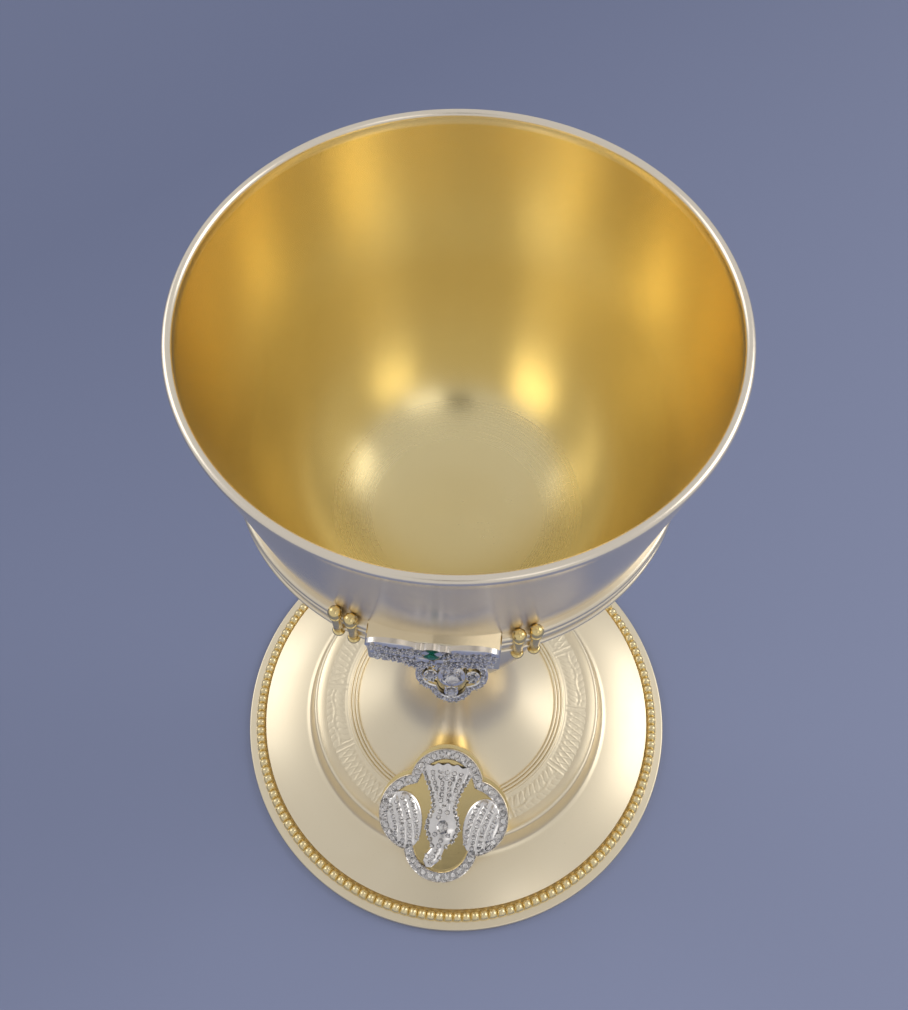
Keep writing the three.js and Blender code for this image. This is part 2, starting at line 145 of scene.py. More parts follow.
def moved(part, matrix):
    points, faces = part
    spots = np.array(points, float)
    turn = np.array(matrix.to_3x3())
    return spots @ turn.T + np.array(matrix.translation), faces


def makePiece(name, part, materials, nodes=(), sharp=40, pick=None):
    points, faces = part
    mesh = bpy.data.meshes.new(name)
    mesh.from_pydata([tuple(p) for p in np.array(points, float) * mm], [], faces)
    work = bmesh.new()
    work.from_mesh(mesh)
    bmesh.ops.remove_doubles(work, verts=work.verts, dist=0.0001 * mm)
    bmesh.ops.recalc_face_normals(work, faces=work.faces)
    work.to_mesh(mesh)
    work.free()
    for material in materials:
        mesh.materials.append(material)
    if pick is not None:
        mesh.polygons.foreach_set("material_index", pick(mesh))
    mesh.shade_smooth()
    mesh.set_sharp_from_angle(angle=math.radians(sharp))
    piece = bpy.data.objects.new(name, mesh)
    bpy.context.scene.collection.objects.link(piece)
    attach(piece, "root")
    if nodes:
        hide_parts(*nodes)
    print(name, "made:", len(mesh.vertices), "points,", len(mesh.polygons), "faces")


# Shared effects

marks = {
    "speckShare": 0.72,              # noise above this is a speck
    "scratchShare": 0.66,            # noise above this is a scratch
    "scratchLean": (0.4, 0.9, 0.5),
    "scratchScale": (90, 2200, 1500),
    "scratchPolish": -0.02,          # roughness that a scratch takes away
    "grooveDepth": 0.02,
}


def openGroup(name, inputs, outputs):
    group = bpy.data.node_groups.new(name, "ShaderNodeTree")
    for label, value in inputs:
        socket = group.interface.new_socket(name=label, in_out="INPUT", socket_type="NodeSocketFloat")
        socket.default_value = value
    for label in outputs:
        group.interface.new_socket(name=label, in_out="OUTPUT", socket_type="NodeSocketFloat")
    return group, group.nodes.new("NodeGroupInput"), group.nodes.new("NodeGroupOutput")


def maths(tree, operation, first, second=None, third=None):
    node = tree.nodes.new("ShaderNodeMath")
    node.operation = operation
    for socket, value in zip(node.inputs, (first, second, third)):
        if value is None:
            continue
        if isinstance(value, (int, float)):
            socket.default_value = value
        else:
            tree.links.new(value, socket)
    return node.outputs[0]


def buildSpunGrain():
    # fine grooves left by turning, which run round the axis
    group, given, result = openGroup(
        "spunGrain",
        [("Rise", 1), ("Across", 3000), ("Around", 1.2)],
        ["Fine", "Broad"],
    )
    links = group.links
    place = group.nodes.new("ShaderNodeTexCoord")
    split = group.nodes.new("ShaderNodeSeparateXYZ")
    links.new(place.outputs["Object"], split.inputs[0])
    x, y, z = split.outputs
    squares = [maths(group, "POWER", side, 2) for side in (x, y)]
    radius = maths(group, "SQRT", maths(group, "ADD", *squares))
    safe = maths(group, "MAXIMUM", radius, 0.5 * mm)
    along = maths(group, "MULTIPLY_ADD", z, given.outputs["Rise"], radius)
    for label, share, detail in (("Fine", 1, 4), ("Broad", 0.08, 2)):
        mix = group.nodes.new("ShaderNodeCombineXYZ")
        for socket, part in zip(mix.inputs, (x, y)):
            unit = maths(group, "DIVIDE", part, safe)
            links.new(maths(group, "MULTIPLY", unit, given.outputs["Around"]), socket)
        across = maths(group, "MULTIPLY", along, maths(group, "MULTIPLY", given.outputs["Across"], share))
        links.new(across, mix.inputs[2])
        noise = group.nodes.new("ShaderNodeTexNoise")
        noise.inputs["Scale"].default_value = 1
        noise.inputs["Detail"].default_value = detail
        noise.inputs["Roughness"].default_value = 0.6
        links.new(mix.outputs[0], noise.inputs["Vector"])
        links.new(noise.outputs["Fac"], result.inputs[label])
    return group


def buildHandling():
    # cloudy wipe marks, small specks and faint scratches from use
    group, given, result = openGroup(
        "handling",
        [("Size", 60), ("Speck Size", 1500)],
        ["Cloud", "Specks", "Scratches"],
    )
    links = group.links
    place = group.nodes.new("ShaderNodeTexCoord")

    def noise(scale, detail, distortion=0):
        node = group.nodes.new("ShaderNodeTexNoise")
        node.inputs["Detail"].default_value = detail
        node.inputs["Distortion"].default_value = distortion
        links.new(place.outputs["Object"], node.inputs["Vector"])
        links.new(scale, node.inputs["Scale"])
        return node.outputs["Fac"]

    links.new(noise(given.outputs["Size"], 4, 0.6), result.inputs["Cloud"])
    specks = noise(given.outputs["Speck Size"], 2)
    links.new(maths(group, "GREATER_THAN", specks, marks["speckShare"]), result.inputs["Specks"])
    stretch = group.nodes.new("ShaderNodeMapping")
    stretch.inputs["Rotation"].default_value = marks["scratchLean"]
    stretch.inputs["Scale"].default_value = marks["scratchScale"]
    links.new(place.outputs["Object"], stretch.inputs["Vector"])
    lines = group.nodes.new("ShaderNodeTexNoise")
    lines.inputs["Scale"].default_value = 1
    lines.inputs["Detail"].default_value = 1
    links.new(stretch.outputs[0], lines.inputs["Vector"])
    scratches = maths(group, "GREATER_THAN", lines.outputs["Fac"], marks["scratchShare"])
    links.new(scratches, result.inputs["Scratches"])
    return group


spunGrain = buildSpunGrain()
handling = buildHandling()


def useGroup(tree, group, values):
    node = tree.nodes.new("ShaderNodeGroup")
    node.node_tree = group
    for label, value in values.items():
        node.inputs[label].default_value = value
    return node


def blendColour(tree, share, first, second, amount=1.0):
    node = tree.nodes.new("ShaderNodeMix")
    node.data_type = "RGBA"
    scaled = maths(tree, "MULTIPLY", share, amount)
    tree.links.new(scaled, node.inputs[0])
    for socket, value in ((node.inputs[6], first), (node.inputs[7], second)):
        if isinstance(value, tuple):
            socket.default_value = (*value, 1)
        else:
            tree.links.new(value, socket)
    return node.outputs[2]


def gilding(name, values):
    # metal with turning grain, wipe marks and specks
    material = bpy.data.materials.new(name)
    material.use_nodes = True
    tree = material.node_tree
    shader = tree.nodes["Principled BSDF"]
    shader.inputs["Metallic"].default_value = 1
    shader.inputs["Anisotropic"].default_value = values["anisotropy"]
    shader.inputs["Anisotropic Rotation"].default_value = 0.25
    grain = useGroup(tree, spunGrain, {"Rise": values["rise"], "Across": values["grooves"]})
    wear = useGroup(tree, handling, {"Size": values["cloudSize"]})
    colour = blendColour(tree, wear.outputs["Cloud"], values["colour"], values["shade"])
    colour = blendColour(tree, grain.outputs["Broad"], colour, values["shade"], values["streaks"])
    colour = blendColour(tree, wear.outputs["Specks"], colour, values["speck"], values["specks"])
    tree.links.new(colour, shader.inputs["Base Color"])
    rough = values["roughness"]
    for mask, share in (
        (grain.outputs["Fine"], values["grainRoughness"]),
        (wear.outputs["Cloud"], values["cloudRoughness"]),
        (wear.outputs["Scratches"], marks["scratchPolish"]),
    ):
        rough = maths(tree, "MULTIPLY_ADD", mask, share, rough)
    tree.links.new(rough, shader.inputs["Roughness"])
    bump = tree.nodes.new("ShaderNodeBump")
    bump.inputs["Strength"].default_value = values["bump"]
    bump.inputs["Distance"].default_value = marks["grooveDepth"] * mm
    tree.links.new(grain.outputs["Fine"], bump.inputs["Height"])
    tree.links.new(bump.outputs[0], shader.inputs["Normal"])
    if values["anisotropy"]:
        tangent = tree.nodes.new("ShaderNodeTangent")
        tangent.direction_type = "RADIAL"
        tangent.axis = "Z"
        tree.links.new(tangent.outputs[0], shader.inputs["Tangent"])
    return material


satinFinish = {
    "roughness": 0.24, "grainRoughness": 0.08, "cloudRoughness": 0.08, "bump": 0.2, "anisotropy": 0.5,
    "specks": 0.1, "streaks": 0.3, "rise": 1, "grooves": 3000, "cloudSize": 60,
}
polish = {
    "roughness": 0.1, "grainRoughness": 0.06, "cloudRoughness": 0.1, "bump": 0.12, "anisotropy": 0,
    "specks": 0.3, "streaks": 0.2, "rise": 1, "grooves": 1200, "cloudSize": 140,
}
insideGold = {
    "colour": (0.93, 0.79, 0.445), "shade": (0.90, 0.755, 0.40), "speck": (0.4, 0.3, 0.12),
    "roughness": 0.2, "grainRoughness": 0.05, "cloudRoughness": 0.04, "bump": 0.15, "anisotropy": 0.8,
    "specks": 0.05, "streaks": 0.5, "rise": 1, "grooves": 3500, "cloudSize": 45,
}
cupInsideGold = gilding("cupInsideGold", insideGold)
cupBendGold = gilding("cupBendGold", {**insideGold, "roughness": 0.23, "anisotropy": 0.6})
cupBottomGold = gilding("cupBottomGold", {**insideGold, "roughness": 0.26, "anisotropy": 0.35, "bump": 0.1})
# paler copy of the satin gilding: its paler colour is painted light, the glow the cup's outer wall reflects
# from the lit foot
cupOuterGiltPaintedLight = gilding("cupOuterGiltPaintedLight", {
    **satinFinish, "colour": (0.95, 0.87, 0.74), "shade": (0.92, 0.83, 0.69), "speck": (0.5, 0.42, 0.3),
    "roughness": 0.2, "grainRoughness": 0.06, "cloudRoughness": 0.05, "bump": 0.12, "anisotropy": 0.55,
    "specks": 0.05,
})
satinGilt = gilding("satinGilt", {
    **satinFinish, "colour": (0.92, 0.83, 0.66), "shade": (0.88, 0.78, 0.60), "speck": (0.4, 0.32, 0.18),
})
footGilt = gilding("footGilt", {
    **satinFinish, "colour": (0.92, 0.82, 0.62), "shade": (0.88, 0.77, 0.56), "speck": (0.4, 0.32, 0.18),
    "roughness": 0.28, "anisotropy": 0.25, "rise": -1, "cloudSize": 50,
})
brightGold = gilding("brightGold", {
    **polish, "colour": (0.93, 0.76, 0.40), "shade": (0.88, 0.68, 0.30), "speck": (0.45, 0.28, 0.08),
})
beadGold = gilding("beadGold", {
    **polish, "colour": (0.90, 0.77, 0.48), "shade": (0.84, 0.69, 0.38), "speck": (0.45, 0.28, 0.08),
    "roughness": 0.2, "specks": 0.2,
})
# paler copy of the polished gold for the bow seat: its pale colour is a painted highlight
paintedHighlightGold = gilding("paintedHighlightGold", {
    **polish, "colour": (0.96, 0.88, 0.70), "shade": (0.93, 0.83, 0.62), "speck": (0.6, 0.45, 0.2),
    "grainRoughness": 0.05, "bump": 0.1, "specks": 0.1, "streaks": 0.1,
})
whiteMetal = gilding("whiteMetal", {
    **polish, "colour": (0.94, 0.92, 0.90), "shade": (0.78, 0.75, 0.73), "speck": (0.3, 0.27, 0.24),
    "roughness": 0.14, "grainRoughness": 0.05, "cloudRoughness": 0.12, "specks": 0.4,
    "grooves": 1500, "cloudSize": 300,
})


def cutStoneMaterial(name, colour, clearness, bending):
    # see-through stone with plain values, and a breath of polish marks
    material = bpy.data.materials.new(name)
    material.use_nodes = True
    tree = material.node_tree
    shader = tree.nodes["Principled BSDF"]
    shader.inputs["Base Color"].default_value = (*colour, 1)
    shader.inputs["Transmission Weight"].default_value = clearness
    shader.inputs["IOR"].default_value = bending
    wear = useGroup(tree, handling, {"Size": 700})
    rough = maths(tree, "MULTIPLY_ADD", wear.outputs["Cloud"], 0.04, 0.005)
    tree.links.new(rough, shader.inputs["Roughness"])
    return material


clearStone = cutStoneMaterial("clearStone", (1, 1, 1), 1, 2.1)
greenStone = cutStoneMaterial("greenStone", (0.01, 0.30, 0.16), 0.8, 1.58)


# Cup: spun thin, with a straight taper that bends in one sweep to the bottom
cup = {
    "height": 220, "rim": 50, "wall": 1.3, "lip": 1.8, "lipDepth": 2.6,
    "bottom": (0, 147), "flatPull": (24, 147), "sidePull": (37.4, 152), "taperFoot": (42.7, 184),
    "bottomRadius": 19.5, "bendRadius": 28, "segments": 288,
}


def cupInsideLine(values, steps=90):
    lipStart = (values["rim"] - values["lip"], values["height"] - values["lipDepth"])
    bottom, taperFoot = np.array(values["bottom"]), np.array(values["taperFoot"])
    share = np.linspace(0, 1, steps + 1)[:, None]
    rest = 1 - share
    sweep = rest ** 3 * bottom + 3 * share * rest ** 2 * np.array(values["flatPull"])
    sweep = sweep + 3 * share ** 2 * rest * np.array(values["sidePull"]) + share ** 3 * taperFoot
    return np.vstack([sweep, straight(taperFoot, lipStart, steps // 3)])


def makeCup(values):
    inside = cupInsideLine(values)
    outside = offsetLine(inside, values["wall"])
    lipRound = values["lip"] / 2
    lip = arc((values["rim"] - lipRound, values["height"] - lipRound), lipRound, -20, 200, 16)
    profile = np.vstack([outside, lip, inside[::-1]])

    def pick(mesh):
        # faces that look back at the axis or up from the dish are inside
        centres = np.zeros(len(mesh.polygons) * 3)
        normals = np.zeros(len(mesh.polygons) * 3)
        mesh.polygons.foreach_get("center", centres)
        mesh.polygons.foreach_get("normal", normals)
        centres, normals = centres.reshape(-1, 3), normals.reshape(-1, 3)
        radius = np.maximum(np.linalg.norm(centres[:, :2], axis=1), 1e-6)
        outward = (centres[:, :2] * normals[:, :2]).sum(1) / radius
        below = centres[:, 2] < (values["height"] - values["lipDepth"]) * mm
        inner = ((normals[:, 2] - outward > 0) & below).astype(int)
        return inner * (1 + (radius < values["bendRadius"] * mm) + (radius < values["bottomRadius"] * mm))

    materials = [cupOuterGiltPaintedLight, cupInsideGold, cupBendGold, cupBottomGold]
    shell = turned(profile, values["segments"])
    makePiece("spunCup", shell, materials, ["cup"], pick=pick)


makeCup(cup)


# Calyx under the cup, with three half-round mouldings round its top
calyx = {
    "wall": 1.2, "gap": 0.3, "top": 182.6, "girdle": 45.2,
    "bead": 0.75, "lowerBead": 0.5, "depth": 6.4, "neck": 0.6, "hollow": 0.35,
    "touch": 0.05,           # how far the top edge reaches into the cup's wall
    "touchDepth": 1.2, "innerDepth": 2, "segments": 288,
}


def girdleLine(values, steps=10):
    bottom = values["top"] - values["depth"]
    bead, half = values["bead"], values["lowerBead"]
    lower = values["girdle"] - half
    middle = values["top"] - 2 * bead - half - values["neck"]
    hollow = (lower - values["hollow"], middle - 2 * half)
    return np.vstack([
        arc((lower, bottom + half), half, -90, 90, steps),
        bend((lower, bottom + 2 * half), hollow, (lower, middle - half), 8),
        arc((lower, middle), half, -90, 90, steps)[1:],
        arc((values["girdle"] - bead, values["top"] - bead), bead, -90, 90, steps),
    ])


def makeCalyx(values):
    inside = cupInsideLine(cup)
    outer = offsetLine(inside, cup["wall"] + values["gap"] + values["wall"])
    inner = offsetLine(inside, cup["wall"] + values["gap"])
    closed = offsetLine(inside, cup["wall"] - values["touch"])
    under = outer[outer[:, 1] < values["top"] - values["depth"]]
    inner = inner[inner[:, 1] < values["top"] - values["innerDepth"]]
    depth = values["top"] - closed[:, 1]
    closed = closed[(depth < values["touchDepth"]) & (depth > 0)]
    topEdge = (closed[-1][0], values["top"])
    profile = np.vstack([under, girdleLine(values), [topEdge], closed[::-1], inner[::-1]])
    makePiece("calyxShell", turned(profile, values["segments"]), [satinGilt], ["calyx"])


makeCalyx(calyx)


# Stem in two lengths with collars, and the round knop between them
stem = {
    "radius": 6.5, "collar": 9, "collarHeight": 3.2, "segments": 144,
    "lower": (60.3, 94.33), "upper": (128.67, 143.9),
}
knop = {"radius": 25.8, "height": 36, "centre": 111.5, "segments": 256}


def stemLine(values, bottom, top):
    small, big, rise = values["radius"], values["collar"], values["collarHeight"]
    edge = 0.4
    lower = np.vstack([
        [(0, bottom), (big - edge, bottom)],
        arc((big - edge, bottom + edge), edge, -90, 0, 4),
        straight((big, bottom + edge), (big, bottom + rise / 2 - edge), 1),
        arc((big - edge, bottom + rise / 2 - edge), edge, 0, 90, 4),
        bend((big - edge, bottom + rise / 2), (small, bottom + rise / 2), (small, bottom + rise * 1.5), 12),
    ])
    upper = lower[::-1] * (1, -1) + (0, bottom + top)
    return np.vstack([lower, upper])


def makeStem(values):
    parts = []
    for bottom, top in (values["lower"], values["upper"]):
        parts.append(turned(stemLine(values, bottom, top), values["segments"]))
    for name, part, node in zip(("lowerStem", "upperStem"), parts, ("lower_stem", "upper_stem")):
        makePiece(name, part, [satinGilt], [node])


def knopLine(values, steps=64):
    across, half = values["radius"], values["height"] / 2
    endAngle = math.acos(stem["collar"] / across)
    angles = np.linspace(-endAngle, endAngle, steps + 1)
    side = np.column_stack([across * np.cos(angles), values["centre"] + half * np.sin(angles)])
    return np.vstack([[(0, side[0][1])], side, [(0, side[-1][1])]])


makeStem(stem)
makePiece("roundKnop", turned(knopLine(knop), knop["segments"]), [satinGilt], ["knop"])


# Foot: flange, sloping band, coved step, chased band between mouldings, dome
foot = {
    "radius": 72.1, "shell": 1.3, "flangeWidth": 7, "flange": 2.2, "edge": 0.5,
    "slopeOuter": (66, 4.4), "slopeInner": (50.4, 8.8), "crown": 0.5,
    "plateau": (47.2, 15.6), "coveReach": 1.6, "wire": 0.9,
    "reedOuter": 36.4, "reedHeight": 16.8, "reed": 0.55, "reeds": 3,
    "dome": (21, 25.5), "domePull": (25, 22.1), "flarePull": (9.4, 35.5), "top": (8.6, 60),
    "fillet": 0.4, "bandDrop": 0.7, "segments": 288,
}
chasing = {
    "depth": 0.07,           # how far the leaves and strands stand above their ground
    "sunk": 0.1,             # the ground below the plain metal
    "ground": 0.05,          # punched ground
    "repeats": 12,           # panels round the band
    "radius": 41.5, "halfWidth": 5.2, "endMargin": 1.3, "edgeDrop": 0.6,
    "strands": 3, "strand": 0.567, "weaveReach": 3.1, "weavePitch": 6.4,
    "stalk": 0.4, "stalkSway": 0.5, "stalkPitch": 9,
    "leafPairs": 4, "leafPitch": 2.2, "leafPlace": 2.2, "leafShift": 0.6, "leafLean": 52,
    "leafLength": 2.0, "leafWidth": 0.85, "leafTaper": 0.35, "veinDepth": 0.45, "vein": 0.14,
    "wire": 0.3, "wirePlace": 4.6, "barPlace": 0.9,
    "aroundSteps": 1200, "acrossSteps": 34,
}


def footLines(values):
    slopeOuter, slopeInner = np.array(values["slopeOuter"]), np.array(values["slopeInner"])
    crown = (slopeOuter + slopeInner) / 2 + (0, 2 * values["crown"])
    plateau, wire = np.array(values["plateau"]), values["wire"]
    cove = (plateau[0] + values["coveReach"], slopeInner[1] + values["coveReach"])
    reedOuter = (values["reedOuter"], values["reedHeight"])
    reedInner = (values["reedOuter"] - 2 * values["reed"] * values["reeds"], values["reedHeight"])
    reeds = []
    for i in range(values["reeds"]):
        centre = (values["reedOuter"] - values["reed"] * (2 * i + 1), values["reedHeight"])
        reeds.append(arc(centre, values["reed"], 0, 180, 6)[1:])
    return {
        "slope": np.vstack([[slopeOuter], bend(slopeOuter, crown, slopeInner, 12)]),
        "cove": bend(slopeInner, cove, plateau + (wire, 0), 10),
        "ring": arc(plateau, wire, 0, 180, 10)[1:],
        "band": straight(plateau - (wire, 0), reedOuter, 2),
        "reeds": np.vstack(reeds),
        "dome": np.vstack([
            bend(reedInner, values["domePull"], values["dome"], 16),
            bend(values["dome"], values["flarePull"], values["top"], 28),
        ]),
    }


def footHeightAt(line, radius):
    # height of the foot's upper face at a radius
    order = np.argsort(line[:, 0])
    return np.interp(radius, line[order, 0], line[order, 1])


def ribbon(distance, half):
    return np.clip(1 - (distance / half) ** 2, 0, 1) ** 0.5


def interlace(s, w, values):
    weave = np.zeros_like(s)
    for k in range(values["strands"]):
        phase = 2 * math.pi * (s / values["weavePitch"] + k / values["strands"])
        over = 0.75 + 0.25 * np.cos(2 * phase)
        strand = ribbon(w - values["weaveReach"] * np.sin(phase), values["strand"])
        weave = np.maximum(weave, strand * over)
    return weave


def leafSpray(s, w, values):
    sway = values["stalkSway"] * np.sin(2 * math.pi * s / values["stalkPitch"])
    spray = ribbon(w - sway, values["stalk"])
    length, width, taper = values["leafLength"], values["leafWidth"], values["leafTaper"]
    for side in (-1, 1):
        turn = math.radians(values["leafLean"] * side)
        for k in range(-values["leafPairs"], values["leafPairs"] + 1):
            ds = s - (k * values["leafPitch"] + values["leafShift"] * side)
            dw = w - side * values["leafPlace"]
            u = ds * math.cos(turn) + dw * math.sin(turn)
            v = -ds * math.sin(turn) + dw * math.cos(turn)
            leaf = 1 - (u / length) ** 2 - (v / (width * (1.02 - taper * u / length))) ** 2
            groove = 1 - values["veinDepth"] * np.exp(-(v / values["vein"]) ** 2)
            spray = np.maximum(spray, np.clip(leaf, 0, 1) ** 0.5 * groove)
    return spray


def chasedHeight(along, across, values):
    # relief of the chased band: interlace panels between leaf sprays, with bars between them
    panel = np.floor(along * values["repeats"])
    length = 2 * math.pi * values["radius"] / values["repeats"]
    s = (along * values["repeats"] - panel - 0.5) * length
    w = across * values["halfWidth"]
    relief = np.where(panel % 2 == 0, interlace(s, w, values), leafSpray(s, w, values))
    relief = np.where(np.abs(s) < length / 2 - values["endMargin"], relief, 0)
    bars = ribbon(np.abs(s) - length / 2 + values["barPlace"], values["wire"])
    edges = ribbon(np.abs(w) - values["wirePlace"], values["wire"])
    return np.maximum.reduce([relief, bars, edges])


def chasedBand(values, band):
    plateau, wire = values["plateau"], values["wire"]
    outer = plateau[0] - wire * 0.6
    inner = values["reedOuter"] + 0.1
    rows, around = band["acrossSteps"], band["aroundSteps"]
    share = np.linspace(0, 1, rows)[:, None]
    angle = np.linspace(0, 1, around, endpoint=False)[None, :]
    across = 1 - 2 * share + 0 * angle
    along = angle + 0 * share
    radius = outer + (inner - outer) * share + 0 * angle
    climb = (values["reedHeight"] - plateau[1]) / (plateau[0] - wire - values["reedOuter"])
    plain = plateau[1] + (plateau[0] - wire - radius) * climb
    rng = np.random.default_rng(7)
    punched = rng.random((rows, around)) * band["ground"]
    relief = chasedHeight(along, across, band)
    height = plain - band["sunk"] + relief * band["depth"] - punched * (relief < 0.1)
    height[0], height[-1] = plain[0] - band["edgeDrop"], plain[-1] - band["edgeDrop"]
    theta = 2 * math.pi * angle - math.pi / 2
    spots = np.stack([radius * np.cos(theta), radius * np.sin(theta), height], axis=-1).reshape(-1, 3)
    return grid(spots, rows, around, closedRows=True)


def makeFoot(values, band):
    lines = footLines(values)
    reedOuter = np.array([values["reedOuter"], values["reedHeight"]])
    under = np.vstack([lines["slope"], lines["cove"][-1:], [reedOuter], lines["dome"]])
    inner = offsetLine(under, -values["shell"])
    floorOfBand = lines["band"][:-1] - (0, values["bandDrop"])
    edge, flange, slopeOuter = values["edge"], values["flange"], values["slopeOuter"]
    flangeEnd = (slopeOuter[0] + edge + values["fillet"], flange)
    rim = np.vstack([
        [(values["radius"] - values["flangeWidth"], 0)],
        arc((values["radius"] - edge / 2, edge / 2), edge / 2, -90, 0, 4),
        arc((values["radius"] - edge, flange - edge), edge, 0, 90, 6),
        [flangeEnd],
        bend(flangeEnd, (slopeOuter[0], flange), slopeOuter, 6)[:-1],
    ])
    profile = np.vstack([
        rim, lines["slope"], lines["cove"], lines["ring"][:-2], floorOfBand, [reedOuter],
        lines["reeds"], lines["dome"], inner[::-1],
    ])
    metal = gather([turned(profile, values["segments"]), chasedBand(values, band)])
    makePiece("footShell", metal, [footGilt], ["foot"])


footLine = np.vstack(list(footLines(foot).values()))
makeFoot(foot, chasing)


# Beaded wire round the flange: short radial bars run together
beading = {
    "radius": 68.1, "width": 3.2, "rise": 2, "dip": 0.3, "count": 150,
    "stepsEach": 10, "sectionSteps": 10, "base": 2.35, "thinner": 0.14,
}


def makeBeading(values):
    stations = values["count"] * values["stepsEach"]
    theta = np.linspace(0, 2 * math.pi, stations, endpoint=False)
    bar = np.abs(np.cos(theta * values["count"] / 2)) ** 0.55
    crest = values["rise"] * (values["dip"] + (1 - values["dip"]) * bar)
    half = values["width"] / 2 * (1 - values["thinner"] * (1 - bar))
    section = np.linspace(0, math.pi, values["sectionSteps"] + 1)
    columns = len(section)
    radius = values["radius"] + half[:, None] * np.cos(section)[None, :]
    height = values["base"] + crest[:, None] * np.sin(section)[None, :] ** 0.8
    spots = np.stack([radius * np.cos(theta)[:, None], radius * np.sin(theta)[:, None], height], axis=-1)
    part = grid(spots.reshape(-1, 3), stations, columns, closedRows=True)
    makePiece("beadedWire", part, [beadGold], ["foot_beading"], sharp=60)


makeBeading(beading)


# Jewels are drawn flat, top towards the axis, then laid on the front
def layOn(tilt, radius, height, turn=0.0):
    laid = Matrix.Translation((0, -radius, height)) @ Matrix.Rotation(math.radians(tilt), 4, "X")
    return Matrix.Rotation(math.radians(turn), 4, "Z") @ laid


def quatrefoil(reach, lobe, steps=24):
    centre = reach - lobe
    cusp = centre / 2 + math.sqrt(lobe ** 2 / 2 - centre ** 2 / 4)
    sweep = math.atan2(cusp, cusp - centre)
    points = []
    for quarter in range(4):
        turn = quarter * math.pi / 2
        angles = turn - sweep + 2 * sweep * np.arange(steps) / steps
        points.append(np.column_stack([
            centre * math.cos(turn) + lobe * np.cos(angles),
            centre * math.sin(turn) + lobe * np.sin(angles),
        ]))
    return np.vstack(points)


def sweepBand(line, section):
    # a closed flat line swept with a section of (sideways, up) points, sideways to the right
    step = np.roll(line, -1, axis=0) - np.roll(line, 1, axis=0)
    step /= np.linalg.norm(step, axis=1)[:, None]
    side = np.column_stack([step[:, 1], -step[:, 0]])
    rows = []
    for offset, up in section:
        rows.append(np.column_stack([line + side * offset, np.full(len(line), up)]))
    spots = np.stack(rows, axis=1).reshape(-1, 3)
    return grid(spots, len(line), len(section), closedRows=True)


def domed(outline, centre, rise, thickness, rings=8, fullness=0.5, ridge=None):
    # a flat-backed form that swells from its outline to its middle
    outline, centre = np.array(outline), np.array(centre)
    count = len(outline)
    rows = [np.column_stack([outline, np.zeros(count)])]
    for i in range(rings):
        share = 1 - i / rings
        flat = centre + (outline - centre) * share
        up = thickness + rise * (1 - share ** 2) ** fullness
        up = np.full(count, up)
        if ridge is not None:
            up = up + ridge(flat[:, 0], flat[:, 1]) * min(1, 4 * (1 - share))
        rows.append(np.column_stack([flat, up]))
    spots = np.vstack(rows)
    points, faces = grid(spots, rings + 1, count)
    points = list(map(tuple, points))
    top = len(points)
    points.append((*centre, thickness + rise))
    points.append((*centre, 0.0))
    last = rings * count
    for j in range(count):
        k = (j + 1) % count
        faces.append([last + j, last + k, top])
        faces.append([k, j, top + 1])
    return points, faces


def alongLine(line, pitch):
    # points at an even pitch along a closed line
    line = np.vstack([line, line[:1]])
    lengths = np.concatenate([[0], np.cumsum(np.linalg.norm(np.diff(line, axis=0), axis=1))])
    wanted = np.linspace(0, lengths[-1], round(lengths[-1] / pitch), endpoint=False)
    return np.column_stack([np.interp(wanted, lengths, line[:, k]) for k in (0, 1)])


def brilliant(radius, sides=8):
    # girdle, table and point of a small cut stone, standing on its point
    angles = np.linspace(0, 2 * math.pi, sides, endpoint=False)
    girdle = np.column_stack([radius * np.cos(angles), radius * np.sin(angles), np.zeros(sides)])
    table = girdle * (0.56, 0.56, 1) + (0, 0, radius * 0.25)
    points = [tuple(p) for p in np.vstack([girdle, table])] + [(0, 0, -radius * 0.8)]
    faces = [list(range(sides, 2 * sides))]
    for i in range(sides):
        j = (i + 1) % sides
        faces.append([i, j, sides + j, sides + i])
        faces.append([j, i, 2 * sides])
    return points, faces


def grainBall(radius, sides=6, levels=3):
    # small ball of metal that holds a stone
    rows = []
    for i in range(levels):
        angle = math.pi * (i + 1) / (levels + 1) - math.pi / 2
        turn = np.linspace(0, 2 * math.pi, sides, endpoint=False)
        rows.append(np.column_stack([
            radius * math.cos(angle) * np.cos(turn),
            radius * math.cos(angle) * np.sin(turn),
            np.full(sides, radius * math.sin(angle)),
        ]))
    points, faces = grid(np.vstack(rows), levels, sides)
    points = list(map(tuple, points)) + [(0, 0, -radius), (0, 0, radius)]
    low, high = len(points) - 2, len(points) - 1
    for i in range(sides):
        j = (i + 1) % sides
        faces.append([j, i, low])
        faces.append([(levels - 1) * sides + i, (levels - 1) * sides + j, high])
    return points, faces


def setStones(places, seed):
    # cut stones at (x, y, height, radius), each turned and tipped a little
    rng = np.random.default_rng(seed)
    parts = []
    for x, y, height, radius in places:
        tip = Matrix.Rotation(rng.normal(0, 0.24), 4, "X") @ Matrix.Rotation(rng.normal(0, 0.24), 4, "Y")
        spin = Matrix.Rotation(rng.uniform(0, math.pi), 4, "Z")
        parts.append(moved(brilliant(radius), Matrix.Translation((x, y, height)) @ tip @ spin))
    return gather(parts)


def grainsRound(places, size, each=4, out=1.05):
    parts = []
    for index, (x, y, height, radius) in enumerate(places):
        for k in range(each):
            angle = 2 * math.pi * (k + 0.5 * (index % 2)) / each
            spot = (x + out * radius * math.cos(angle), y + out * radius * math.sin(angle), height + 0.1)
            parts.append(moved(grainBall(size), Matrix.Translation(spot)))
    return gather(parts)


def makeJewel(names, metal, stones, laid, node, seed):
    # white metal setting and its cut stones
    makePiece(names[0], moved(gather(metal), laid), [whiteMetal], [node], sharp=35)
    makePiece(names[1], moved(setStones(stones, seed), laid), [clearStone], sharp=5)


